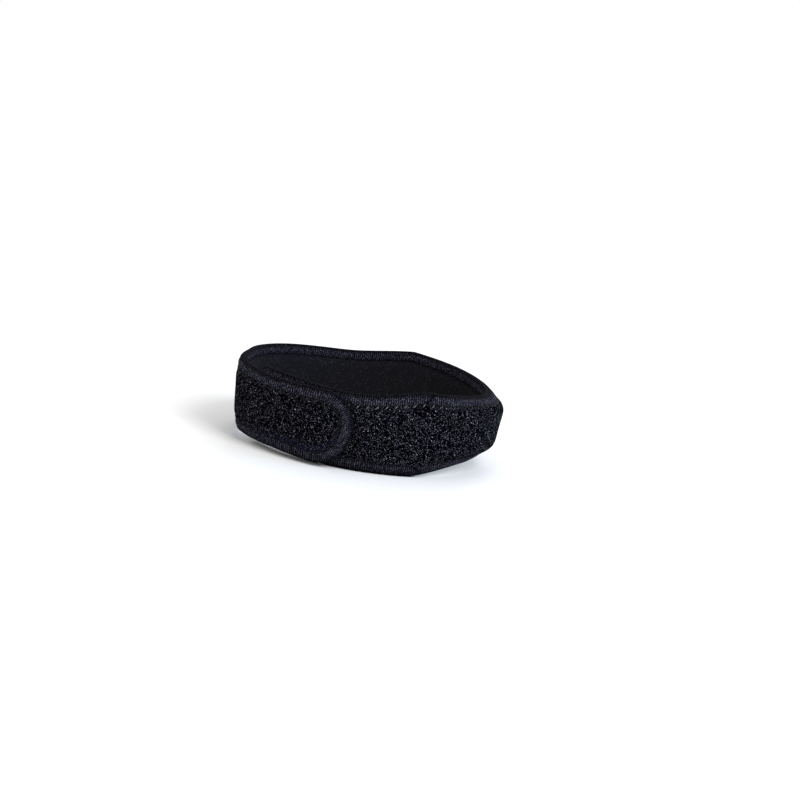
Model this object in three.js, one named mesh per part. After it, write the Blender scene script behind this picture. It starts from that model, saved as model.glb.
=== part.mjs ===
// A patella strap: a padded foam band with a plush outer face and a taped edge, worn as a closed loop just below the
// kneecap. Its tab comes round from the back of the knee, laps over the band's other end on the outer side of the leg
// and holds there by a patch of hook tape. +X is the front of the knee, -Y the side with the tab and +Z up the leg.
// The strap stands on its lower edge, with the middle of its outline over the origin. Lengths are in millimetres.
import * as THREE from "three";

// The loop, measured inside the strap
const loopHalfDepth = 58.5; // from the middle to the front of the knee, and to the back
const loopHalfBreadth = 51.5; // from the middle to either side

// The band, laid flat
const padHalfLength = 63; // from the front to each corner of the padded section
const tipFromFront = 93.4; // round the outer side, from the front back to the tip of the tab
const overlap = 61; // how far the tab laps over the hidden end
const frontWidth = 33; // over the tendon
const cornerWidth = 43.1; // the widest place, where the padded section ends
const strapWidth = 38.2; // along the sides
const backWidth = 38; // behind the knee
const tabWidth = 37; // the tab, just before its round nose
const frontLift = 6; // how far the lower edge rises under the front
const backLift = 2.4; // how far the lower edge rises behind the knee
const backLeanDegrees = 6; // how far the wall behind the knee leans, its lower edge inwards, as the leg narrows
const frontLeanDegrees = 5; // and how far the padded front does
const tabLift = 1.5; // how far the tab's lower edge lies above that of the layer under it
const hiddenRise = 1.7; // how far the hidden end shows above the tab near the back
const tabNose = 15; // length of the tab's round nose
const noseLean = 0.07; // how much fuller the round nose is above its middle, as a share of its length
const hiddenNose = 9; // length of the hidden end's rounding

// Thicknesses
const strapThickness = 5.1;
const padThickness = 10.7; // the padded section at the front
const padInset = 1.2; // how far the padded section swells towards the leg
const padPull = 1.8; // how far the taped edge is pulled in towards the leg beside the padding
const edgeTiltDegrees = 12; // how steeply the taped edge rises outwards from its fold
const padTiltDegrees = 48; // and its outer face where the padded section is thickest
const boundThickness = 3.8; // a taped edge, over the tape
const tapeThickness = 1;
const tapeWidth = 5.5; // of each leg of the folded tape
const seamDip = 0.5; // how far the foam's face sinks beside the tape
const edgeDroop = 0.8; // how far the tab's taped edge is pressed down past its inner face
const clearance = 0.3; // between pieces that touch

// The hook patch on the inner face of the tab
const hookThickness = 1;
const hookLength = 38;
const hookInset = 4; // from the inner edge of the tape to the patch

// The climb of the tab over the hidden end
const climbLength = 26;

// How finely the shapes are cut up
const stationSpacing = 6.4;
const noseSteps = 12;
const plushFullness = 6.5; // how quickly the plush face swells to its full height beside the tape
const liningFullness = 8; // and the inner face to its own

const { clamp, degToRad, euclideanModulo, lerp, smoothstep } = THREE.MathUtils;

const loopLine = new THREE.EllipseCurve(0, 0, loopHalfDepth, loopHalfBreadth);
loopLine.arcLengthDivisions = 720;
const loopLength = loopLine.getLength();
const back = loopLength / 2;
const tabTip = loopLength - tipFromFront;
const hiddenEnd = -(tipFromFront + overlap);

// The outline of the flat band, in three runs that meet in a corner. A row gives a place along the band from the
// front, the height of the lower edge there and the width there.
const padRun = [
  { along: -padHalfLength, foot: 0, width: cornerWidth },
  { along: -0.52 * padHalfLength, foot: 0.84 * frontLift, width: lerp(frontWidth, cornerWidth, 0.3) },
  { along: 0, foot: frontLift, width: frontWidth },
  { along: 0.52 * padHalfLength, foot: 0.84 * frontLift, width: lerp(frontWidth, cornerWidth, 0.3) },
  { along: padHalfLength, foot: 0, width: cornerWidth },
];
const hiddenRun = [
  { along: hiddenEnd, foot: 0.8 * backLift, width: backWidth },
  { along: lerp(-padHalfLength, hiddenEnd, 0.72), foot: 0.5 * backLift, width: strapWidth + 0.2 * hiddenRise },
  { along: lerp(-padHalfLength, hiddenEnd, 0.38), foot: 0, width: strapWidth },
  { along: -padHalfLength, foot: 0, width: cornerWidth },
];
const strapRun = [
  { along: padHalfLength, foot: 0, width: cornerWidth },
  { along: lerp(padHalfLength, back, 0.33), foot: 0, width: strapWidth },
  { along: lerp(padHalfLength, back, 0.65), foot: 0.5 * backLift, width: strapWidth },
  { along: back, foot: backLift, width: backWidth },
  { along: lerp(back, tabTip, 0.5), foot: 0.5 * backLift + tabLift, width: tabWidth - hiddenRise },
  { along: tabTip - tabNose, foot: tabLift, width: tabWidth },
  { along: tabTip, foot: tabLift, width: tabWidth },
];

// One column of a run at a place between its rows, without overshooting them, so that a level edge stays level.
function columnAt(rows, column, along) {
  const last = rows.length - 1;
  let i = 0;
  while (i < last - 1 && along > rows[i + 1].along) i += 1;
  const slope = (k) => (rows[k + 1][column] - rows[k][column]) / (rows[k + 1].along - rows[k].along);
  const slopeAtRow = (k) => {
    if (k === 0) return slope(0);
    if (k === last) return slope(last - 1);
    const product = slope(k - 1) * slope(k);
    return product > 0 ? (2 * product) / (slope(k - 1) + slope(k)) : 0;
  };
  const length = rows[i + 1].along - rows[i].along;
  const t = clamp((along - rows[i].along) / length, 0, 1);
  const bend = (1 - t) * slopeAtRow(i) - t * slopeAtRow(i + 1);
  return lerp(rows[i][column], rows[i + 1][column], t * t * (3 - 2 * t)) + t * (1 - t) * length * bend;
}

function runAt(along) {
  if (along < -padHalfLength) return hiddenRun;
  return along > padHalfLength ? strapRun : padRun;
}

function footAt(along) {
  return columnAt(runAt(along), "foot", along);
}

function topAt(along) {
  return footAt(along) + columnAt(runAt(along), "width", along);
}

// How much of the padded section's swelling there is: 1 at the front, none past its corners.
function padShare(along) {
  return Math.max(0, 1 - (along / padHalfLength) ** 2);
}

// How far the band has climbed over its hidden end: 0 up to the climb, 1 on the tab.
function climbShare(along) {
  const top = loopLength + hiddenEnd - clearance;
  return smoothstep(along, top - climbLength, top);
}

// How far out the leaning walls lie at a height, at a turn round the loop from the front.
function leanAt(turn, height) {
  const front = Math.cos(2 * Math.PI * turn);
  const frontSlope = Math.tan(degToRad(frontLeanDegrees)) * Math.max(0, front) ** 2;
  const backSlope = Math.tan(degToRad(backLeanDegrees)) * Math.max(0, -front) ** 2;
  return frontSlope * (height - frontLift - frontWidth / 2) + backSlope * (height - backLift - backWidth / 2);
}

// A point of the band: so far along from the front, at a height, and so far out from the band's own inner face.
function wrap(along, height, out) {
  const turn = euclideanModulo(along / loopLength, 1);
  const inside = loopLine.getPointAt(turn);
  const tangent = loopLine.getTangentAt(turn);
  const climb = strapThickness + hookThickness + 2 * clearance;
  const reach = climb * climbShare(along) + leanAt(turn, height) + out;
  return new THREE.Vector3(inside.x + tangent.y * reach, inside.y - tangent.x * reach, height);
}

// The places where a flat outline is cut up, from start to end, with each corner of the band among them.
function placesAlong(start, end) {
  const stops = [start, -padHalfLength, 0, padHalfLength, end].filter((stop) => stop >= start && stop <= end);
  const places = [];
  for (let i = 1; i < stops.length; i += 1) {
    const steps = Math.max(1, Math.ceil((stops[i] - stops[i - 1]) / stationSpacing));
    for (let k = 0; k < steps; k += 1) places.push(lerp(stops[i - 1], stops[i], k / steps));
  }
  places.push(end);
  return places;
}

// A station of an outline: a point of its edge, the unit direction from it to the middle line, and how far that is.
function station(edge, middle) {
  const ray = middle.clone().sub(edge);
  return { edge, inward: ray.clone().normalize(), depth: ray.length() };
}

// The stations once round a flat outline with a round nose at each end: along its top, round one nose, back along its
// bottom and round the other. Inset moves the outline inwards from the band's own.
function stationsRound({ start, end, startNose, endNose, inset }) {
  const foot = (along) => footAt(along) + inset;
  const top = (along) => topAt(along) - inset;
  const middleAt = (along) => new THREE.Vector2(along, (foot(along) + top(along)) / 2);
  const straight = placesAlong(start + startNose, end - endNose);
  const nose = (along, length, firstAngle, fuller) => {
    const middle = middleAt(along);
    const halfWidth = (top(along) - foot(along)) / 2;
    const stations = [];
    for (let k = 1; k < noseSteps; k += 1) {
      const angle = firstAngle - (Math.PI * k) / noseSteps;
      const reach = length * Math.cos(angle) * (1 + fuller * Math.sin(angle));
      const spoke = new THREE.Vector2(reach, halfWidth * Math.sin(angle));
      stations.push(station(middle.clone().add(spoke), middle));
    }
    return stations;
  };
  return [
    ...straight.map((along) => station(new THREE.Vector2(along, top(along)), middleAt(along))),
    ...nose(end - endNose, endNose, Math.PI / 2, noseLean),
    ...straight.toReversed().map((along) => station(new THREE.Vector2(along, foot(along)), middleAt(along))),
    ...nose(start + startNose, startNose, -Math.PI / 2, 0),
  ];
}

// A point in from a station's edge along its ray, and out from the band's inner face.
function pointAt({ edge, inward }, depth, out) {
  const flat = inward.clone().multiplyScalar(depth).add(edge);
  return wrap(flat.x, flat.y, out);
}

// The place of a point of the taped edge, in from the band's edge and out from its inner face: so deep from the fold
// along the face, and so far across from the middle of the edge's thickness. The faces spread towards the padding.
function edgePlace(at, depth, across) {
  const along = at.edge.x;
  const swell = padShare(along);
  const tilt = degToRad(across > 0 ? lerp(edgeTiltDegrees, padTiltDegrees, swell) : edgeTiltDegrees);
  const fold = boundThickness / 2 - padPull * swell - edgeDroop * climbShare(along);
  return { inwards: depth * Math.cos(tilt), out: fold + depth * Math.sin(tilt) + across };
}

function edgePoint(at, depth, across) {
  const { inwards, out } = edgePlace(at, depth, across);
  return pointAt(at, inwards, out);
}

// A closed surface from rows of points, where each row is joined to the next and the last row to the first. Places
// that coincide become one, and the faces that this leaves without area are dropped.
function closedGeometry(rows, rowsClose) {
  const positions = [];
  const index = [];
  const known = new Map();
  const keep = (point) => {
    const key = point.toArray().map((value) => value.toFixed(4)).join();
    if (!known.has(key)) {
      known.set(key, known.size);
      positions.push(...point.toArray());
    }
    return known.get(key);
  };
  const grid = rows.map((row) => row.map(keep));
  const face = (a, b, c) => {
    if (a !== b && b !== c && c !== a) index.push(a, b, c);
  };
  const columns = rowsClose ? grid[0].length : grid[0].length - 1;
  grid.forEach((row, i) => {
    const next = grid[(i + 1) % grid.length];
    for (let j = 0; j < columns; j += 1) {
      const k = (j + 1) % row.length;
      face(row[j], next[k], row[k]);
      face(row[j], next[j], next[k]);
    }
  });
  const geometry = new THREE.BufferGeometry();
  geometry.setAttribute("position", new THREE.Float32BufferAttribute(positions, 3));
  geometry.setIndex(index);
  geometry.computeVertexNormals();
  return geometry;
}

const bandStations = stationsRound({
  start: hiddenEnd,
  end: tabTip,
  startNose: hiddenNose,
  endNose: tabNose,
  inset: 0,
});

// The foam band. Each station's row runs from the middle line over the plush face to the seam, round the thin tongue
// that the tape covers, and back over the inner face to the middle line.
function foamRow(at) {
  const swell = padShare(at.edge.x);
  const seam = tapeWidth + clearance;
  const tongueHalf = boundThickness / 2 - tapeThickness - clearance;
  const seamHalf = boundThickness / 2 - seamDip;
  const faceRow = ({ shares, side, crest, power }) => {
    const { inwards, out } = edgePlace(at, seam, side * seamHalf);
    return shares.map((share) => {
      const fullness = 1 - (1 - share) ** power;
      return pointAt(at, lerp(inwards, at.depth, share), lerp(out, crest, fullness));
    });
  };
  const plushFace = faceRow({
    shares: [1, 0.6, 0.3, 0.12, 0],
    side: 1,
    crest: lerp(strapThickness, padThickness, swell),
    power: plushFullness,
  });
  const innerFace = faceRow({
    shares: [0, 0.12, 0.4, 1],
    side: -1,
    crest: -padInset * swell,
    power: liningFullness,
  });
  return [
    ...plushFace,
    edgePoint(at, seam, tongueHalf),
    edgePoint(at, tapeThickness + clearance, tongueHalf),
    edgePoint(at, tapeThickness + clearance, -tongueHalf),
    edgePoint(at, seam, -tongueHalf),
    ...innerFace,
  ];
}

function foamStrap() {
  return closedGeometry(bandStations.map(foamRow), false);
}

// The binding tape, folded round the whole edge of the band: a channel with a flattened round back.
function edgeBinding() {
  const half = boundThickness / 2;
  const slot = half - tapeThickness;
  const section = [
    { depth: tapeWidth, across: half },
    { depth: 0.8 * half, across: half },
    { depth: 0.24 * half, across: 0.78 * half },
    { depth: 0, across: 0.38 * half },
    { depth: 0, across: -0.38 * half },
    { depth: 0.24 * half, across: -0.78 * half },
    { depth: 0.8 * half, across: -half },
    { depth: tapeWidth, across: -half },
    { depth: tapeWidth, across: -slot },
    { depth: tapeThickness, across: -slot },
    { depth: tapeThickness, across: slot },
    { depth: tapeWidth, across: slot },
  ];
  const row = (at) => section.map(({ depth, across }) => edgePoint(at, depth, across));
  return closedGeometry(bandStations.map(row), true);
}

// The patch of hook tape, a thin plate between the tab and the layer under it.
function hookPatch() {
  const inset = tapeWidth + hookInset;
  const end = tabTip - inset;
  const low = -hookThickness - clearance;
  const stations = stationsRound({
    start: end - hookLength,
    end,
    startNose: inset / 2,
    endNose: tabNose - inset / 2,
    inset,
  });
  const row = (at) => [
    pointAt(at, at.depth, -clearance),
    pointAt(at, 0, -clearance),
    pointAt(at, 0, low),
    pointAt(at, at.depth, low),
  ];
  return closedGeometry(stations.map(row), false);
}

function piece(name, geometry, material) {
  const mesh = new THREE.Mesh(geometry, new THREE.MeshStandardMaterial(material));
  mesh.name = name;
  return mesh;
}

const strap = new THREE.Group();
strap.add(
  piece("foam_strap", foamStrap(), { color: 0x121317, roughness: 0.95, metalness: 0 }),
  piece("edge_binding", edgeBinding(), { color: 0x18181e, roughness: 0.8, metalness: 0 }),
  piece("hook_patch", hookPatch(), { color: 0x0d0d0f, roughness: 0.7, metalness: 0 }),
);

const extent = new THREE.Box3().setFromObject(strap);
const middle = extent.getCenter(new THREE.Vector3());
for (const part of strap.children) part.position.set(-middle.x, -middle.y, -extent.min.z);

export default strap;
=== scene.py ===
import math

import bmesh
import bpy
from mathutils import Matrix, Vector, noise


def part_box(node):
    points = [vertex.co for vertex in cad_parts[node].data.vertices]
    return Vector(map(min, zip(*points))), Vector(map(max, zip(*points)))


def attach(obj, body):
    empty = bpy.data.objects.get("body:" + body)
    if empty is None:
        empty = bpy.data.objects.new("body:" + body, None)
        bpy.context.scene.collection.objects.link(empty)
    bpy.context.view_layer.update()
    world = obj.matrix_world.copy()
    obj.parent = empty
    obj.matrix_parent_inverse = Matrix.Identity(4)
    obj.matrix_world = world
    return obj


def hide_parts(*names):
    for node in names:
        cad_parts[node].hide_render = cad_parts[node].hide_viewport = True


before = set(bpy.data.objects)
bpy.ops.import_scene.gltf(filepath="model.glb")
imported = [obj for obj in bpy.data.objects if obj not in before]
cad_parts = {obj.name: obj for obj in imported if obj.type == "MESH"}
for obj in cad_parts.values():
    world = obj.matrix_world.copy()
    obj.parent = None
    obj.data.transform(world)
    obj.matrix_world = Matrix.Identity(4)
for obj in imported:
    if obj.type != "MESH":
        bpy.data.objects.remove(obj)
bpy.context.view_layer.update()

# The view is the photograph's: from a metre away on the tab's side, 13 degrees above the strap, with the camera
# rolled so that the strap runs down to the right. It comes first, so that everything after it can be looked at.
camera_distance = 1.0
camera_azimuth = math.radians(-3.6)
camera_elevation = math.radians(12.9)
camera_roll = math.radians(9.5)
pixels_per_metre = 1953
frame_pixels = 800
sensor_width = 36
aimed_pixel = (366.0, 412.3)
aimed_point = Vector((0, 0, 0.018))

back = Vector(
    (
        math.sin(camera_azimuth) * math.cos(camera_elevation),
        -math.cos(camera_azimuth) * math.cos(camera_elevation),
        math.sin(camera_elevation),
    )
)
right = Vector((math.cos(camera_azimuth), math.sin(camera_azimuth), 0))
turned = Matrix((right, back.cross(right), back)).transposed() @ Matrix.Rotation(camera_roll, 3, "Z")
camera_data = bpy.data.cameras.new("photo_view")
camera_data.sensor_width = sensor_width
camera_data.lens = sensor_width * pixels_per_metre * camera_distance / frame_pixels
camera_data.shift_x = (frame_pixels / 2 - aimed_pixel[0]) / frame_pixels
camera_data.shift_y = (aimed_pixel[1] - frame_pixels / 2) / frame_pixels
camera_data.clip_start = 0.01
camera = bpy.data.objects.new("photo_view", camera_data)
camera.matrix_world = Matrix.Translation(aimed_point + back * camera_distance) @ turned.to_4x4()
bpy.context.scene.collection.objects.link(camera)
bpy.context.scene.camera = camera

# The studio: a pale floor under the strap, one large soft lamp high in front on the right, weaker ones on the left
# and behind, and a cool one beside the padded front. The room lights the strap softly from all round, and shows
# behind it as plain white.
floor_half = 0.7
floor_form = bmesh.new()
bmesh.ops.create_grid(floor_form, x_segments=1, y_segments=1, size=floor_half)
floor_mesh = bpy.data.meshes.new("floor")
floor_form.to_mesh(floor_mesh)
floor_form.free()
floor = bpy.data.objects.new("floor", floor_mesh)
bpy.context.scene.collection.objects.link(floor)
floor_paint = bpy.data.materials.new("floor_paint")
floor_paint.use_nodes = True
floor_shader = floor_paint.node_tree.nodes["Principled BSDF"]
floor_shader.inputs["Base Color"].default_value = (0.86, 0.86, 0.86, 1)
floor_shader.inputs["Roughness"].default_value = 0.9
floor_shader.inputs["Specular IOR Level"].default_value = 0.1
floor_mesh.materials.append(floor_paint)


def soft_lamp(name, place, side, watts, tint=(1, 1, 1)):
    lamp_data = bpy.data.lights.new(name, "AREA")
    lamp_data.shape = "SQUARE"
    lamp_data.size = side
    lamp_data.energy = watts
    lamp_data.color = tint
    lamp = bpy.data.objects.new(name, lamp_data)
    lamp.matrix_world = Matrix.Translation(place) @ Vector(place).to_track_quat("Z", "Y").to_matrix().to_4x4()
    bpy.context.scene.collection.objects.link(lamp)


soft_lamp("key_lamp", (0.8, -0.9, 1.2), side=0.8, watts=18)
soft_lamp("fill_lamp", (-1.1, -0.8, 0.7), side=1.2, watts=3)
soft_lamp("rear_lamp", (0.3, 1.3, 0.9), side=1.0, watts=8)
soft_lamp("side_lamp", (1.3, -0.2, 0.5), side=0.6, watts=6.5, tint=(0.25, 0.55, 1))

white = (1, 1, 1, 1)
room = bpy.data.worlds.new("white_room")
room.use_nodes = True
room_nodes, room_links = room.node_tree.nodes, room.node_tree.links
room_nodes["Background"].inputs["Color"].default_value = white
room_nodes["Background"].inputs["Strength"].default_value = 0.75
backdrop = room_nodes.new("ShaderNodeBackground")
backdrop.inputs["Color"].default_value = white
seen = room_nodes.new("ShaderNodeMixShader")
room_links.new(room_nodes.new("ShaderNodeLightPath").outputs["Is Camera Ray"], seen.inputs[0])
room_links.new(room_nodes["Background"].outputs[0], seen.inputs[1])
room_links.new(backdrop.outputs[0], seen.inputs[2])
room_links.new(seen.outputs[0], room_nodes["World Output"].inputs["Surface"])
bpy.context.scene.world = room
bpy.context.scene.view_settings.view_transform = "Standard"

# The band's line and cut: one long strip of foam laminate, cut flat with a round nose at each end and widest at the
# two corners of its padded front, then wrapped below the knee so that its tab laps over the hidden end.
loop_half_depth = 0.0585
loop_half_breadth = 0.0515
pad_half_length = 0.063
tip_from_front = 0.0934
overlap = 0.061
front_width = 0.033
corner_width = 0.0431
strap_width = 0.0382
back_width = 0.038
tab_width = 0.037
front_lift = 0.006
back_lift = 0.0024
back_lean = math.radians(6)
front_lean = math.radians(5)
tab_lift = 0.0015
hidden_rise = 0.0017
tab_nose = 0.015
nose_lean = 0.07
hidden_nose = 0.009
strap_thickness = 0.0051
pad_thickness = 0.0107
pad_pull = 0.0018
edge_tilt = math.radians(12)
pad_tilt = math.radians(48)
bound_thickness = 0.0038
edge_droop = 0.0008
clearance = 0.0003
hook_thickness = 0.001
climb_length = 0.026
line_steps = 2880


def between(a, b, share):
    return a + (b - a) * share


def eased(value, low, high):
    share = min(1, max(0, (value - low) / (high - low)))
    return share * share * (3 - 2 * share)


line_points = [
    Vector((loop_half_depth * math.cos(turn), loop_half_breadth * math.sin(turn)))
    for turn in (2 * math.pi * step / line_steps for step in range(line_steps + 1))
]
line_lengths = [0.0]
for first, second in zip(line_points, line_points[1:]):
    line_lengths.append(line_lengths[-1] + (second - first).length)
loop_length = line_lengths[-1]
behind_knee = loop_length / 2
tab_tip = loop_length - tip_from_front
hidden_end = -(tip_from_front + overlap)


def turn_at(along):
    """The ellipse's angle at a length along the loop from the front."""
    goal = along % loop_length
    low, high = 0, line_steps
    while high - low > 1:
        middle = (low + high) // 2
        if line_lengths[middle] <= goal:
            low = middle
        else:
            high = middle
    share = (goal - line_lengths[low]) / (line_lengths[low + 1] - line_lengths[low])
    return 2 * math.pi * (low + share) / line_steps


# Each row of a run is a place along the band, the height of the lower edge there and the width there. A fraction says
# how far a row lies, is lifted or is widened between the places that have names.
pad_bend = 0.52 * pad_half_length
pad_bend_lift = 0.84 * front_lift
pad_bend_width = between(front_width, corner_width, 0.3)
pad_run = [
    (-pad_half_length, 0, corner_width),
    (-pad_bend, pad_bend_lift, pad_bend_width),
    (0, front_lift, front_width),
    (pad_bend, pad_bend_lift, pad_bend_width),
    (pad_half_length, 0, corner_width),
]
hidden_run = [
    (hidden_end, 0.8 * back_lift, back_width),
    (between(-pad_half_length, hidden_end, 0.72), 0.5 * back_lift, strap_width + 0.2 * hidden_rise),
    (between(-pad_half_length, hidden_end, 0.38), 0, strap_width),
    (-pad_half_length, 0, corner_width),
]
strap_run = [
    (pad_half_length, 0, corner_width),
    (between(pad_half_length, behind_knee, 0.33), 0, strap_width),
    (between(pad_half_length, behind_knee, 0.65), 0.5 * back_lift, strap_width),
    (behind_knee, back_lift, back_width),
    (between(behind_knee, tab_tip, 0.5), 0.5 * back_lift + tab_lift, tab_width - hidden_rise),
    (tab_tip - tab_nose, tab_lift, tab_width),
    (tab_tip, tab_lift, tab_width),
]


def column_at(rows, column, along):
    """One column of a run at a place between its rows, without overshooting them."""
    last = len(rows) - 1
    i = 0
    while i < last - 1 and along > rows[i + 1][0]:
        i += 1

    def slope(k):
        return (rows[k + 1][column] - rows[k][column]) / (rows[k + 1][0] - rows[k][0])

    def slope_at_row(k):
        if k == 0:
            return slope(0)
        if k == last:
            return slope(last - 1)
        product = slope(k - 1) * slope(k)
        return 2 * product / (slope(k - 1) + slope(k)) if product > 0 else 0

    length = rows[i + 1][0] - rows[i][0]
    t = min(1, max(0, (along - rows[i][0]) / length))
    bend = (1 - t) * slope_at_row(i) - t * slope_at_row(i + 1)
    return between(rows[i][column], rows[i + 1][column], t * t * (3 - 2 * t)) + t * (1 - t) * length * bend


def edges_at(along):
    """The heights of the lower and the upper edge."""
    run = pad_run
    if along < -pad_half_length:
        run = hidden_run
    if along > pad_half_length:
        run = strap_run
    foot = column_at(run, 1, along)
    return foot, foot + column_at(run, 2, along)


def pad_share(along):
    return max(0, 1 - (along / pad_half_length) ** 2)


def climb_share(along):
    top = loop_length + hidden_end - clearance
    return eased(along, top - climb_length, top)


highest = Vector(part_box("foam_strap")[1])
ring_middle = Vector((highest.x - loop_half_depth - pad_thickness, highest.y - loop_half_breadth - strap_thickness))


def lean_at(along, height):
    """How far out the leaning walls lie at a height: the front and the back lean, their lower edges inwards."""
    front = math.cos(2 * math.pi * along / loop_length)
    front_slope = math.tan(front_lean) * max(0, front) ** 2
    back_slope = math.tan(back_lean) * max(0, -front) ** 2
    return front_slope * (height - front_lift - front_width / 2) + back_slope * (height - back_lift - back_width / 2)


def wrap(along, height, out):
    """A point of the band: so far along from the front, at a height, and so far out from its own inner face."""
    turn = turn_at(along)
    inside = Vector((loop_half_depth * math.cos(turn), loop_half_breadth * math.sin(turn)))
    outward = Vector((loop_half_breadth * math.cos(turn), loop_half_depth * math.sin(turn))).normalized()
    climb = strap_thickness + hook_thickness + 2 * clearance
    place = ring_middle + inside + outward * (climb * climb_share(along) + lean_at(along, height) + out)
    return Vector((place.x, place.y, height))


class Station:
    """A point of the band's edge, the way from it to the middle line, and how far round the edge it lies."""

    def __init__(self, edge, inward, depth, travel=0):
        self.edge = edge
        self.inward = inward
        self.depth = depth
        self.travel = travel


def stations_round(spacing, nose_steps):
    """Stations once round the whole edge: along the top, round the tab's nose, along the bottom, round the other."""

    def middle_at(along):
        foot, top = edges_at(along)
        return Vector((along, (foot + top) / 2))

    def station(edge, middle):
        ray = middle - edge
        return Station(edge, ray.normalized(), ray.length)

    def nose(along, length, first_angle, fuller):
        foot, top = edges_at(along)
        found = []
        for step in range(1, nose_steps):
            angle = first_angle - math.pi * step / nose_steps
            reach = length * math.cos(angle) * (1 + fuller * math.sin(angle))
            spoke = Vector((reach, (top - foot) / 2 * math.sin(angle)))
            found.append(station(middle_at(along) + spoke, middle_at(along)))
        return found

    stops = [hidden_end + hidden_nose, -pad_half_length, 0, pad_half_length, tab_tip - tab_nose]
    straight = []
    for first, second in zip(stops, stops[1:]):
        steps = math.ceil((second - first) / spacing)
        straight += [between(first, second, step / steps) for step in range(steps)]
    straight.append(stops[-1])
    found = [station(Vector((along, edges_at(along)[1])), middle_at(along)) for along in straight]
    found += nose(stops[-1], tab_nose, math.pi / 2, nose_lean)
    found += [station(Vector((along, edges_at(along)[0])), middle_at(along)) for along in reversed(straight)]
    found += nose(stops[0], hidden_nose, -math.pi / 2, 0)
    for first, second in zip(found, found[1:]):
        second.travel = first.travel + (second.edge - first.edge).length
    return found


stations = stations_round(spacing=0.0009, nose_steps=44)
edge_length = stations[-1].travel + (stations[-1].edge - stations[0].edge).length


def station_at(travel):
    """The station so far round the edge, between the ones that were cut."""
    goal = travel % edge_length
    low, high = 0, len(stations)
    while high - low > 1:
        middle = (low + high) // 2
        if stations[middle].travel <= goal:
            low = middle
        else:
            high = middle
    first, second = stations[low], stations[(low + 1) % len(stations)]
    gap = (second.travel if low + 1 < len(stations) else edge_length) - first.travel
    share = (goal - first.travel) / gap
    return Station(
        first.edge.lerp(second.edge, share),
        first.inward.lerp(second.inward, share).normalized(),
        between(first.depth, second.depth, share),
        goal,
    )


def point_at(at, depth, out):
    flat = at.edge + at.inward * depth
    return wrap(flat.x, flat.y, out)


def edge_place(at, depth, across):
    """How far in and out a point of the taped edge lies, so deep from the fold; its faces spread to the padding."""
    swell = pad_share(at.edge.x)
    tilt = between(edge_tilt, pad_tilt, swell) if across > 0 else edge_tilt
    fold = bound_thickness / 2 - pad_pull * swell - edge_droop * climb_share(at.edge.x)
    return depth * math.cos(tilt), fold + depth * math.sin(tilt) + across


def edge_point(at, depth, across):
    return point_at(at, *edge_place(at, depth, across))


def grown_from_grid(name, columns, rows, place, chart_at, pressed_shade_and_glint_at=None):
    """A closed skin: a flat grid whose corners are moved to their places and joined where they meet.

    Its UV map "cloth" is the cloth's flat chart, and its one float attribute gives how far the plush is pressed flat,
    the painted shade of the tape's tucks and the painted glint of a stitch.
    """
    weld_distance = 1e-6
    form = bmesh.new()
    bmesh.ops.create_grid(form, x_segments=columns, y_segments=rows, size=1)
    chart = form.loops.layers.uv.new("cloth")
    row_of = form.faces.layers.int.new("row")
    pressed_shade_and_glint = form.verts.layers.float.new("pressed_shade_and_glint")
    cells = {
        vert: (round((vert.co.x + 1) / 2 * columns), round((vert.co.y + 1) / 2 * rows)) for vert in form.verts
    }
    for face in form.faces:
        face[row_of] = min(cells[corner.vert][1] for corner in face.loops)
        for corner in face.loops:
            column, row = cells[corner.vert]
            corner[chart].uv = chart_at(column, row)
    for vert, (column, row) in cells.items():
        vert.co = place(column % columns, row)
        vert[pressed_shade_and_glint] = pressed_shade_and_glint_at(column % columns, row) if pressed_shade_and_glint_at else 0
    bmesh.ops.remove_doubles(form, verts=form.verts, dist=weld_distance)
    bmesh.ops.recalc_face_normals(form, faces=form.faces)
    for face in form.faces:
        face.smooth = True
    mesh = bpy.data.meshes.new(name)
    form.to_mesh(mesh)
    form.free()
    piece = bpy.data.objects.new(name, mesh)
    bpy.context.scene.collection.objects.link(piece)
    return piece


def travel_of(column):
    return stations[column].travel if column < len(stations) else edge_length


# The band itself: closed-cell foam, 5 mm thick and about twice that over the tendon pad, with brushed loop plush
# glued to its outer face and a smooth knit lining inside. Its edge thins to a tongue under the tape.
tape_thickness = 0.001
tape_width = 0.0055
seam_dip = 0.0005
pad_inset = 0.0012
plush_fullness = 6.5
lining_fullness = 8
seam = tape_width + clearance
plush_shares = [1, 0.86, 0.73, 0.61, 0.5, 0.42, 0.36, 0.33, 0.3, 0.27, 0.23, 0.18, 0.13, 0.09, 0.05, 0.02, 0]
lining_shares = [0, 0.03, 0.08, 0.14, 0.22, 0.34, 0.5, 0.75, 1]
swell_height = 0.00035
swell_size = 0.014
swell_growth = 4
zigzag_near = 0.005
zigzag_far = 0.0071
zigzag_pitch = 0.0044
zigzag_slant = 0.7
pull_depth = 0.00035
pull_width = 0.0009
pull_past_zigzag = 0.0006
pull_steadiness = 0.7
patch_from_tape = 0.004
patch_length = 0.038
patch_start = tab_tip - tape_width - patch_from_tape - patch_length
patch_share_low = 0.3
patch_share_high = 0.05
patch_top_height = 0.75
groove_depth = 0.0009
groove_width = 0.0009
groove_share = 0.04
groove_onset = 0.001
end_groove = 0.4
pressed_fade = 0.8
pressed_onset = 0.02


def face_place(at, share, side):
    """A place of the foam's outer or inner face, from the seam beside the tape, at share 0, to the middle line."""
    swell = pad_share(at.edge.x)
    seam_in, seam_out = edge_place(at, seam, side * (bound_thickness / 2 - seam_dip))
    crest = between(strap_thickness, pad_thickness, swell) if side > 0 else -pad_inset * swell
    fullness = 1 - (1 - share) ** (plush_fullness if side > 0 else lining_fullness)
    return between(seam_in, at.depth, share), between(seam_out, crest, fullness)


def face_point(at, share, side, lift=0):
    inwards, out = face_place(at, share, side)
    return point_at(at, inwards, out + side * lift)


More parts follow.
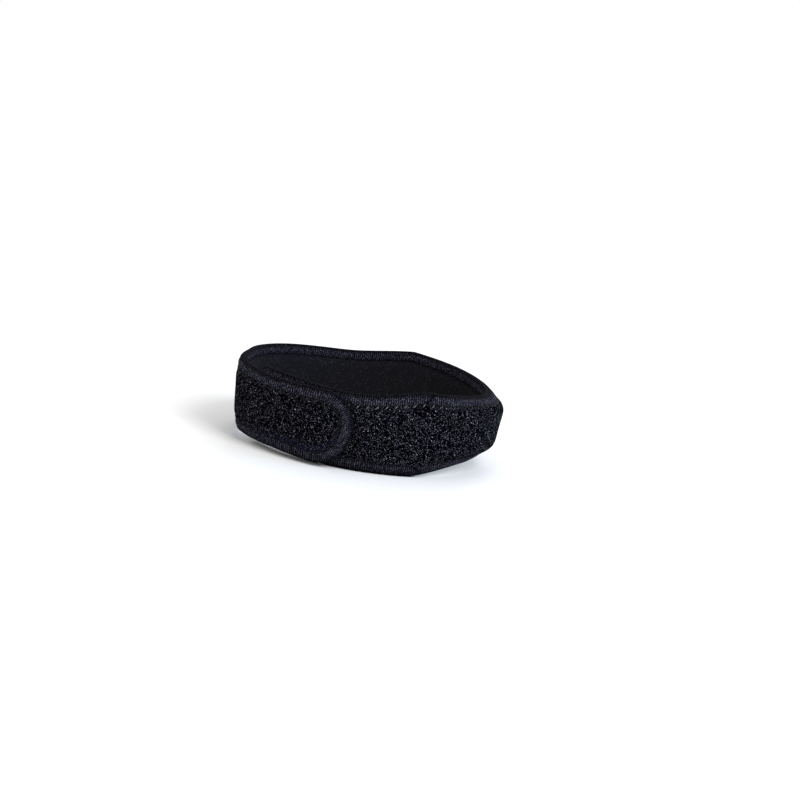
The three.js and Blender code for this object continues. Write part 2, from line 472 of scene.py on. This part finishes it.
def share_past_seam(at, distance, side):
    """The share of the face that lies so far past the seam, measured over the face."""
    share_step = 0.004
    share, walked = 0, 0
    before = face_place(at, 0, side)
    while walked < distance:
        share += share_step
        after = face_place(at, share, side)
        walked += math.dist(before, after)
        before = after
    return share


def hump(distance, width):
    return math.exp(-((distance / width) ** 2))


def patch_share(at):
    """Where the patch's seam runs: well above the tape along the bottom, and close beside it along the top."""
    foot, top = edges_at(min(at.edge.x, tab_tip - tab_nose))
    height = eased((at.edge.y - foot) / (top - foot), 0, patch_top_height)
    return between(patch_share_low, patch_share_high, height)


def patch_groove(at, share):
    """How deep the seam that holds the hook patch pulls the plush in, from 0 to 1."""
    flat = at.edge + at.inward * face_place(at, share, 1)[0]
    seam_share = patch_share(at)
    begun = eased(flat.x, patch_start - groove_onset, patch_start)
    round_patch = hump(share - seam_share, groove_share) * begun
    across_end = end_groove * hump(flat.x - patch_start, groove_width) if share > seam_share else 0
    return max(round_patch, across_end)


tongue_half = bound_thickness / 2 - tape_thickness - clearance
tongue = [(seam, tongue_half), (tape_thickness + clearance, tongue_half)]
tongue += [(depth, -across) for depth, across in reversed(tongue)]


def foam_place(column, row):
    """A corner of the band's skin: rows over the plush, then round the tongue, then over the lining."""
    at = stations[column]
    if row < len(plush_shares):
        share = plush_shares[row]
        rest = face_point(at, share, 1)
        past_seam = math.dist(face_place(at, 0, 1), face_place(at, share, 1))
        lift = swell_height * noise.noise(rest / swell_size) * min(1, swell_growth * share)
        lift -= groove_depth * patch_groove(at, share)
        stitch_turn = math.cos(2 * math.pi * at.travel / zigzag_pitch)
        pull = hump(past_seam - (zigzag_far + pull_past_zigzag - seam), pull_width)
        lift -= pull_depth * pull * (pull_steadiness + (1 - pull_steadiness) * stitch_turn)
        return face_point(at, share, 1, lift)
    row -= len(plush_shares)
    if row < len(tongue):
        return edge_point(at, *tongue[row])
    return face_point(at, lining_shares[row - len(tongue)], -1)


def foam_chart(column, row):
    """The cloth's own flat place in metres, measured over the face outwards from the middle line."""
    chart_steps = 6
    at = stations[column % len(stations)]
    if row < len(plush_shares):
        share, side = plush_shares[row], 1
    else:
        share, side = lining_shares[max(0, row - len(plush_shares) - len(tongue))], -1
    steps = [face_place(at, between(share, 1, step / chart_steps), side) for step in range(chart_steps)]
    steps.append(face_place(at, 1, side))
    reach = sum(math.dist(first, second) for first, second in zip(steps, steps[1:]))
    return at.edge + at.inward * (at.depth - reach)


def foam_pressed(column, row):
    """How far the plush lies flat in the strip between the tape and the seam round the hook patch, from 0 to 1."""
    if row >= len(plush_shares):
        return 0
    at, share = stations[column], plush_shares[row]
    flat = at.edge + at.inward * face_place(at, share, 1)[0]
    beside = 1 - eased(share, pressed_fade * patch_share(at), patch_share(at))
    return eased(flat.x, patch_start, patch_start + pressed_onset) * beside


plush_band = grown_from_grid(
    "plush_band",
    len(stations),
    len(plush_shares) + len(tongue) + len(lining_shares) - 1,
    foam_place,
    foam_chart,
    pressed_shade_and_glint_at=foam_pressed,
)


def cloth_material(name, roughness, shine, sheen, sheen_tint):
    """A cloth's material with its plain values set, its node tree and its shader."""
    material = bpy.data.materials.new(name)
    material.use_nodes = True
    shader = material.node_tree.nodes["Principled BSDF"]
    shader.inputs["Roughness"].default_value = roughness
    shader.inputs["Specular IOR Level"].default_value = shine
    shader.inputs["Sheen Weight"].default_value = sheen
    shader.inputs["Sheen Roughness"].default_value = 0.35
    shader.inputs["Sheen Tint"].default_value = sheen_tint
    return material, material.node_tree, shader


def wired(tree, kind, inputs=None, **settings):
    """A node with its settings made and its sockets filled or linked."""
    node = tree.nodes.new(kind)
    for key, value in settings.items():
        setattr(node, key, value)
    for key, value in (inputs or {}).items():
        if isinstance(value, bpy.types.NodeSocket):
            tree.links.new(value, node.inputs[key])
        else:
            node.inputs[key].default_value = value
    return node


def mixed(tree, share, first, second):
    """A colour between two others; both are sockets or colours."""
    node = wired(tree, "ShaderNodeMix", data_type="RGBA")
    sockets = [socket for socket in node.inputs if socket.type == "RGBA"]
    tree.links.new(share, node.inputs["Factor"])
    for socket, colour in zip(sockets, (first, second)):
        if isinstance(colour, bpy.types.NodeSocket):
            tree.links.new(colour, socket)
        else:
            socket.default_value = colour
    return next(socket for socket in node.outputs if socket.type == "RGBA")


def fleck_group():
    """Bright flecks in the plush, the tape and the lining: short strokes that lean both ways; on the plush they are
    partly painted glints.

    Per Metre is how many fibres lie beside each other in a metre of cloth, and Share is the part that is bright.
    """
    stroke_leans = (-0.75, 0.7, 0.1)
    stroke_stretch = (1, 2, 1)
    spot_core, spot_rim = 0.25, 0.6
    sharpness = 4.0
    group = bpy.data.node_groups.new("fibre_flecks_and_glints", "ShaderNodeTree")
    group.interface.new_socket("Per Metre", in_out="INPUT", socket_type="NodeSocketFloat")
    group.interface.new_socket("Share", in_out="INPUT", socket_type="NodeSocketFloat")
    group.interface.new_socket("Fleck", in_out="OUTPUT", socket_type="NodeSocketFloat")
    group.interface.new_socket("Height", in_out="OUTPUT", socket_type="NodeSocketFloat")
    given = wired(group, "NodeGroupInput")
    result = wired(group, "NodeGroupOutput")
    chart = wired(group, "ShaderNodeUVMap", uv_map="cloth")
    least = wired(group, "ShaderNodeMath", {0: 1.0, 1: given.outputs["Share"]}, operation="SUBTRACT")
    strokes = []
    for lean in stroke_leans:
        leaning = wired(group, "ShaderNodeMapping", {"Vector": chart.outputs["UV"]}, vector_type="TEXTURE")
        leaning.inputs["Rotation"].default_value = (0, 0, lean)
        leaning.inputs["Scale"].default_value = stroke_stretch
        tufts = wired(
            group,
            "ShaderNodeTexVoronoi",
            {"Vector": leaning.outputs["Vector"], "Scale": given.outputs["Per Metre"]},
            voronoi_dimensions="2D",
        )
        chance = wired(group, "ShaderNodeSeparateColor", {"Color": tufts.outputs["Color"]})
        bright = wired(
            group,
            "ShaderNodeMapRange",
            {"Value": chance.outputs["Red"], "From Min": least.outputs[0], "From Max": 1.0},
        )
        spot = wired(
            group,
            "ShaderNodeMapRange",
            {
                "Value": tufts.outputs["Distance"],
                "From Min": spot_core,
                "From Max": spot_rim,
                "To Min": 1.0,
                "To Max": 0.0,
            },
        )
        sharp = wired(group, "ShaderNodeMath", {0: bright.outputs[0], 1: sharpness}, operation="POWER")
        stroke = wired(group, "ShaderNodeMath", {0: sharp.outputs[0], 1: spot.outputs[0]}, operation="MULTIPLY")
        strokes.append(stroke.outputs[0])
    brightest = strokes[0]
    for stroke in strokes[1:]:
        brightest = wired(group, "ShaderNodeMath", {0: brightest, 1: stroke}, operation="MAXIMUM").outputs[0]
    group.links.new(brightest, result.inputs["Fleck"])
    group.links.new(spot.outputs[0], result.inputs["Height"])
    return group


flecks = fleck_group()


def flecked(tree, per_metre, share):
    return wired(tree, "ShaderNodeGroup", {"Per Metre": per_metre, "Share": share}, node_tree=flecks)


def toned(tree, value, start, end, low=0.0, high=1.0):
    """A colour that runs from start to end as a value goes from low to high."""
    ramp = wired(tree, "ShaderNodeValToRGB", {"Fac": value})
    ramp.color_ramp.elements[0].position = low
    ramp.color_ramp.elements[0].color = start
    ramp.color_ramp.elements[1].position = high
    ramp.color_ramp.elements[1].color = end
    return ramp.outputs["Color"]


def plush_finish():
    """Brushed black loops: dark ground in soft patches, greyish fibres that are partly painted glints, and a few
    bright painted glints.
    """
    material, tree, shader = cloth_material(
        "black_plush", roughness=1.0, shine=0.003, sheen=0.002, sheen_tint=(0.6, 0.7, 0.95, 1)
    )
    # The pile's flecks: partly its own grey fibres, partly painted glints off its loops.
    pile_flecks_and_glints = flecked(tree, per_metre=4400, share=0.15)
    place = wired(tree, "ShaderNodeTexCoord").outputs["Object"]
    patches = wired(tree, "ShaderNodeTexNoise", {"Vector": place, "Scale": 120.0, "Detail": 3.0})
    ground = toned(
        tree,
        patches.outputs["Fac"],
        start=(0.0002, 0.0002, 0.0005, 1),
        end=(0.001, 0.0009, 0.0028, 1),
        low=0.35,
        high=0.7,
    )
    pressed_shade_and_glint = wired(tree, "ShaderNodeAttribute", attribute_name="pressed_shade_and_glint").outputs["Fac"]
    settled = mixed(tree, pressed_shade_and_glint, ground, (0.0042, 0.004, 0.0115, 1))
    standing = wired(tree, "ShaderNodeMapRange", {"Value": pressed_shade_and_glint, "To Min": 1.0, "To Max": 0.75}).outputs[0]
    shown = wired(tree, "ShaderNodeMath", {0: pile_flecks_and_glints.outputs["Fleck"], 1: standing}, operation="MULTIPLY").outputs[0]
    fibres = mixed(tree, shown, settled, (0.23, 0.235, 0.28, 1))
    # Painted glints: a few rare flecks off the loops, near white.
    glint_sparks = flecked(tree, per_metre=4000, share=0.01)
    with_painted_glints = mixed(tree, glint_sparks.outputs["Fleck"], fibres, (0.75, 0.76, 0.82, 1))
    tree.links.new(with_painted_glints, shader.inputs["Base Color"])
    raised = wired(tree, "ShaderNodeBump", {"Strength": 0.6, "Distance": 0.0004, "Height": pile_flecks_and_glints.outputs["Height"]})
    tree.links.new(raised.outputs["Normal"], shader.inputs["Normal"])
    return material


def waves(tree, value, pitch):
    """A rounded ridge at every pitch of a value, which is in metres, or in stitches on a thread."""
    turns = wired(tree, "ShaderNodeMath", {0: value, 1: 2 * math.pi / pitch}, operation="MULTIPLY")
    ridge = wired(tree, "ShaderNodeMath", {0: turns.outputs[0]}, operation="SINE")
    return wired(tree, "ShaderNodeMapRange", {"Value": ridge.outputs[0], "From Min": -1.0}).outputs[0]


def lining_finish():
    """A fine smooth knit: its courses run up the band, and a few stray fibres lie on it."""
    course_pitch = 0.0008
    material, tree, shader = cloth_material(
        "smooth_lining", roughness=0.8, shine=0.03, sheen=0.01, sheen_tint=(0.8, 0.8, 0.9, 1)
    )
    chart = wired(tree, "ShaderNodeUVMap", uv_map="cloth")
    across = wired(tree, "ShaderNodeSeparateXYZ", {"Vector": chart.outputs["UV"]})
    courses = waves(tree, across.outputs["X"], course_pitch)
    stray = flecked(tree, per_metre=2400, share=0.1)
    ground = toned(tree, courses, start=(0.004, 0.004, 0.005, 1), end=(0.011, 0.011, 0.014, 1))
    knitted = mixed(tree, stray.outputs["Fleck"], ground, (0.04, 0.04, 0.05, 1))
    tree.links.new(knitted, shader.inputs["Base Color"])
    knit = wired(tree, "ShaderNodeBump", {"Strength": 0.4, "Distance": 0.0002, "Height": courses})
    tree.links.new(knit.outputs["Normal"], shader.inputs["Normal"])
    return material


plush_band.data.materials.append(plush_finish())
plush_band.data.materials.append(lining_finish())
first_lining_row = len(plush_shares) + len(tongue) // 2
for face, row in zip(plush_band.data.polygons, plush_band.data.attributes["row"].data):
    face.material_index = 1 if row.value >= first_lining_row else 0
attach(plush_band, "root")
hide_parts("foam_strap")

# The binding: one stretch tape about 13 mm wide, folded over the foam's edge all the way round and sewn down. Its
# fine ribs run across its width, so that it stretches round the noses and folds once at each corner of the pad.
rib_pitch = 0.00105
tape_puff = 0.0003
tape_pull = 0.0006
tape_lip = 0.0004
fold_reach = 0.95
fold_roundness = 0.7
face_steps = 8
fold_steps = 10
fold_start = face_steps + 1


def tape_face(depth):
    """How far the tape's face lies from the middle of the edge: puffed between its fold and its sewn edge."""
    share = (depth - bound_thickness / 2) / (tape_width - bound_thickness / 2)
    return bound_thickness / 2 + tape_puff * math.sin(math.pi * max(0, share)) - tape_pull * max(0, share) ** 4


def tape_section():
    """The folded tape cut across: its outer face, the fold, its inner face and the slot that holds the foam."""
    half = bound_thickness / 2
    outer = [(tape_width, tape_face(tape_width) - tape_lip / 2)]
    for step in range(face_steps):
        depth = between(tape_width, half, step / face_steps)
        outer.append((depth, tape_face(depth)))
    fold = []
    for step in range(fold_steps + 1):
        angle = math.pi * step / fold_steps
        fold.append((half - fold_reach * half * math.sin(angle) ** fold_roundness, half * math.cos(angle)))
    inner = [(depth, -across) for depth, across in reversed(outer)]
    slot_half = half - tape_thickness
    slot = [(tape_width - tape_lip, -slot_half), (tape_thickness, -slot_half)]
    slot += [(depth, -across) for depth, across in reversed(slot)]
    return outer + fold + inner + slot


section = tape_section()
section_rise = [0.0]
for (d0, a0), (d1, a1) in zip(section, section[1:] + section[:1]):
    section_rise.append(section_rise[-1] + math.hypot(d1 - d0, a1 - a0))

fold_rise = (section_rise[fold_start] + section_rise[fold_start + fold_steps]) / 2
tuck_depth = 0.0007
tuck_width = 0.0009
tuck_reach = 0.0052
tuck_before_corner = 0.0005
tucked_rows = fold_start + 3


def tape_tuck(column, row):
    """How deep the tape's tuck is, from 0 to 1, which also sets its painted shade: along a slanting line at each
    corner of the padded front.
    """
    at = stations[column]
    depth = section[row % len(section)][0]
    tuck_line = pad_half_length - tuck_before_corner - tuck_reach * (1 - depth / tape_width)
    return hump(abs(at.edge.x) - tuck_line, tuck_width) if row < tucked_rows else 0


def tape_place(column, row):
    depth, across = section[row % len(section)]
    return edge_point(stations[column], depth, across - tuck_depth * tape_tuck(column, row))


binding = grown_from_grid(
    "edge_tape",
    len(stations),
    len(section),
    tape_place,
    lambda column, row: (travel_of(column), section_rise[row]),
    pressed_shade_and_glint_at=tape_tuck,
)


def tape_finish():
    """Ribbed stretch tape with fuzz on its ribs, with painted shade at the fold, in the tucks and along the band's
    lower edge.
    """
    material, tree, shader = cloth_material(
        "ribbed_tape", roughness=0.85, shine=0.015, sheen=0.008, sheen_tint=(0.65, 0.65, 0.9, 1)
    )
    black = (0, 0, 0, 1)
    chart = wired(tree, "ShaderNodeUVMap", uv_map="cloth")
    across = wired(tree, "ShaderNodeSeparateXYZ", {"Vector": chart.outputs["UV"]})
    ribs = waves(tree, across.outputs["X"], edge_length / round(edge_length / rib_pitch))
    from_fold = wired(tree, "ShaderNodeMath", {0: across.outputs["Y"], 1: fold_rise}, operation="SUBTRACT")
    distance = wired(tree, "ShaderNodeMath", {0: from_fold.outputs[0]}, operation="ABSOLUTE")
    # Painted shade: the tape's colour is darkened along its fold.
    fold_painted_shade = wired(
        tree,
        "ShaderNodeMapRange",
        {"Value": distance.outputs[0], "From Min": 0.0017, "From Max": 0.0034, "To Min": 0.2, "To Max": 1.0},
    )
    fuzz = flecked(tree, per_metre=4400, share=0.45)
    threads = mixed(tree, fuzz.outputs["Fleck"], (0.007, 0.0067, 0.0145, 1), (0.265, 0.265, 0.33, 1))
    ribbed = mixed(tree, ribs, (0.001, 0.001, 0.002, 1), threads)
    tuck_shade = wired(tree, "ShaderNodeAttribute", attribute_name="pressed_shade_and_glint").outputs["Fac"]
    place = wired(tree, "ShaderNodeTexCoord").outputs["Object"]
    height = wired(tree, "ShaderNodeSeparateXYZ", {"Vector": place}).outputs["Z"]
    # Painted shade: the tape grows darker towards the band's lower edge, by height.
    low_edge_painted_shade = wired(
        tree,
        "ShaderNodeMapRange",
        {"Value": height, "From Min": 0.0005, "From Max": 0.008, "To Min": 0.3, "To Max": 1.0},
    )
    # The two painted shades together mix the ribbed colour towards black.
    shown = wired(tree, "ShaderNodeMath", {0: fold_painted_shade.outputs[0], 1: low_edge_painted_shade.outputs[0]}, operation="MULTIPLY")
    with_painted_shade = mixed(tree, shown.outputs[0], black, ribbed)
    # Painted shade in the tucks: their colour is mixed almost to black.
    tree.links.new(mixed(tree, tuck_shade, with_painted_shade, (0.0006, 0.0006, 0.001, 1)), shader.inputs["Base Color"])
    raised = wired(tree, "ShaderNodeBump", {"Strength": 0.7, "Distance": 0.0003, "Height": ribs})
    tree.links.new(raised.outputs["Normal"], shader.inputs["Normal"])
    return material


binding.data.materials.append(tape_finish())
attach(binding, "root")
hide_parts("edge_binding")

# The stitches: a bonded thread in zigzag over the tape's inner edge, on both faces, and a plain seam that holds the
# hook patch to the tab. Each stitch rises from one needle hole and sinks into the next.
thread_radius = 0.00025
thread_sides = 6
bends_per_stitch = 4
stitch_rise = 0.0003
stitch_sink = 0.00015
zigzags_round = round(edge_length / zigzag_pitch)


def taped_face(at, depth, side, lift):
    """A point on the tape, or past its inner edge on the foam's face."""
    if depth < tape_width:
        return edge_point(at, depth, side * (tape_face(depth) + lift))
    return face_point(at, share_past_seam(at, depth - seam, side), side, lift)


def thread_along(name, centres, glint_at=None):
    """A thin round thread through a ring of points, made as a skin round them."""
    count = len(centres)
    rings = []
    for i, centre in enumerate(centres):
        heading = (centres[(i + 1) % count] - centres[i - 1]).normalized()
        sideways = heading.cross(Vector((centre.x, centre.y, 0)).normalized()).normalized()
        rings.append((centre, sideways, heading.cross(sideways)))

    def place(column, row):
        centre, sideways, outwards = rings[column]
        angle = 2 * math.pi * row / thread_sides
        return centre + (sideways * math.cos(angle) + outwards * math.sin(angle)) * thread_radius

    return grown_from_grid(
        name,
        count,
        thread_sides,
        place,
        lambda column, row: (column / bends_per_stitch, row / thread_sides),
        pressed_shade_and_glint_at=glint_at,
    )


def zigzag(side):
    """The thread's middle line once round one face: one stitch slants in, and the next, steeper, comes back."""
    centres = []
    for bend in range(2 * zigzags_round * bends_per_stitch):
        stitch, part = divmod(bend, bends_per_stitch)
        share = part / bends_per_stitch
        turn = stitch // 2 + (zigzag_slant * share if stitch % 2 == 0 else between(zigzag_slant, 1, share))
        at = station_at(edge_length * turn / zigzags_round)
        depth = between(zigzag_near, zigzag_far, share if stitch % 2 == 0 else 1 - share)
        centres.append(taped_face(at, depth, side, stitch_rise * math.sin(math.pi * share) - stitch_sink))
    return centres


def thread_finish():
    """Black thread of twisted plies; a stitch that catches the light has a painted glint in grey."""
    ply_pitch = 0.5
    material, tree, shader = cloth_material(
        "bonded_thread", roughness=0.5, shine=0.05, sheen=0.01, sheen_tint=(0.8, 0.85, 1, 1)
    )
    chart = wired(tree, "ShaderNodeUVMap", uv_map="cloth")
    parts = wired(tree, "ShaderNodeSeparateXYZ", {"Vector": chart.outputs["UV"]})
    slanting = wired(tree, "ShaderNodeMath", {0: parts.outputs["X"], 1: parts.outputs["Y"]}, operation="ADD")
    plies = waves(tree, slanting.outputs[0], ply_pitch)
    shade = toned(tree, plies, start=(0.003, 0.003, 0.005, 1), end=(0.014, 0.014, 0.019, 1))
    # Painted glint: the marked stitches are mixed towards grey.
    glint = wired(tree, "ShaderNodeAttribute", attribute_name="pressed_shade_and_glint").outputs["Fac"]
    tree.links.new(mixed(tree, glint, shade, (0.145, 0.15, 0.165, 1)), shader.inputs["Base Color"])
    twist = wired(tree, "ShaderNodeBump", {"Strength": 0.5, "Distance": 0.0001, "Height": plies})
    tree.links.new(twist.outputs["Normal"], shader.inputs["Normal"])
    return material


# The painted glints run along the near strap's top. Their ends are told as shares of the padded front's half length.
glint_begins = (-1.7, -1.6)
glint_fades = (-0.95, -0.8)
glint_lost = 0.8
top_margin = 0.001


def glint_at(column, row):
    """How far a bend of the outer zigzag gets a painted glint, from 0 to 1: every other stitch does."""
    stitch, part = divmod(column, bends_per_stitch)
    edge = station_at(edge_length * column / bends_per_stitch / (2 * zigzags_round)).edge
    on_top = edge.y > edges_at(edge.x)[1] - top_margin
    middle = math.sin(math.pi * part / bends_per_stitch)
    reach = edge.x / pad_half_length
    run = eased(reach, *glint_begins) * (1 - glint_lost * eased(reach, *glint_fades))
    return middle * on_top * (stitch % 2) * run


thread = thread_finish()
for name, side in (("zigzag_outside", 1), ("zigzag_inside", -1)):
    stitches = thread_along(name, zigzag(side), glint_at if side > 0 else None)
    stitches.data.materials.append(thread)
    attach(stitches, "root")

seam_step = 0.0006
seam_rise = 0.00022
seam_sink = 0.00005


def patch_seam():
    """Once round the hook patch on the tab's outer face, in stitches 2.4 mm long, and across the patch's far end."""
    path = []
    for travel in (seam_step * i for i in range(int(edge_length / seam_step))):
        at = station_at(travel)
        share = patch_share(at)
        flat = at.edge + at.inward * face_place(at, share, 1)[0]
        if flat.x > patch_start:
            path.append((at, share))
    up_to_middle, down_from_middle = (0.5, 0.7, 0.9), (1, 0.8, 0.6, 0.4)
    first, last = path[0][0], path[-1][0]
    path += [(last, share) for share in up_to_middle]
    path += [(first, share) for share in down_from_middle]
    centres = []
    for bend, (at, share) in enumerate(path):
        rise = seam_rise * math.sin(math.pi * (bend % bends_per_stitch) / bends_per_stitch)
        centres.append(face_point(at, share, 1, rise - groove_depth - seam_sink))
    return centres


patch_stitches = thread_along("patch_stitches", patch_seam())
patch_stitches.data.materials.append(thread)
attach(patch_stitches, "root")

# The hook patch: a plate of woven tape with rows of small plastic hooks, sewn to the inner face of the tab. It lies
# between the tab and the layer under it, so that only its edge could ever be seen.
hook_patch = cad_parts["hook_patch"]
hooks_per_metre = 900.0
hook_finish, hook_tree, hook_shader = cloth_material(
    "hook_tape", roughness=0.6, shine=0.2, sheen=0.01, sheen_tint=white
)
hook_place = wired(hook_tree, "ShaderNodeTexCoord").outputs["Object"]
hooks = wired(
    hook_tree,
    "ShaderNodeTexVoronoi",
    {"Vector": hook_place, "Scale": hooks_per_metre, "Randomness": 0.2},
)
hook_tone = toned(
    hook_tree,
    hooks.outputs["Distance"],
    start=(0.02, 0.02, 0.022, 1),
    end=(0.006, 0.006, 0.007, 1),
    low=0.1,
    high=0.6,
)
hook_tree.links.new(hook_tone, hook_shader.inputs["Base Color"])
hook_rise = wired(
    hook_tree, "ShaderNodeBump", {"Strength": 1.0, "Distance": 0.0004, "Height": hooks.outputs["Distance"]}
)
hook_rise.invert = True
hook_tree.links.new(hook_rise.outputs["Normal"], hook_shader.inputs["Normal"])
if hook_patch.material_slots:
    hook_patch.material_slots[0].material = hook_finish
else:
    hook_patch.data.materials.append(hook_finish)
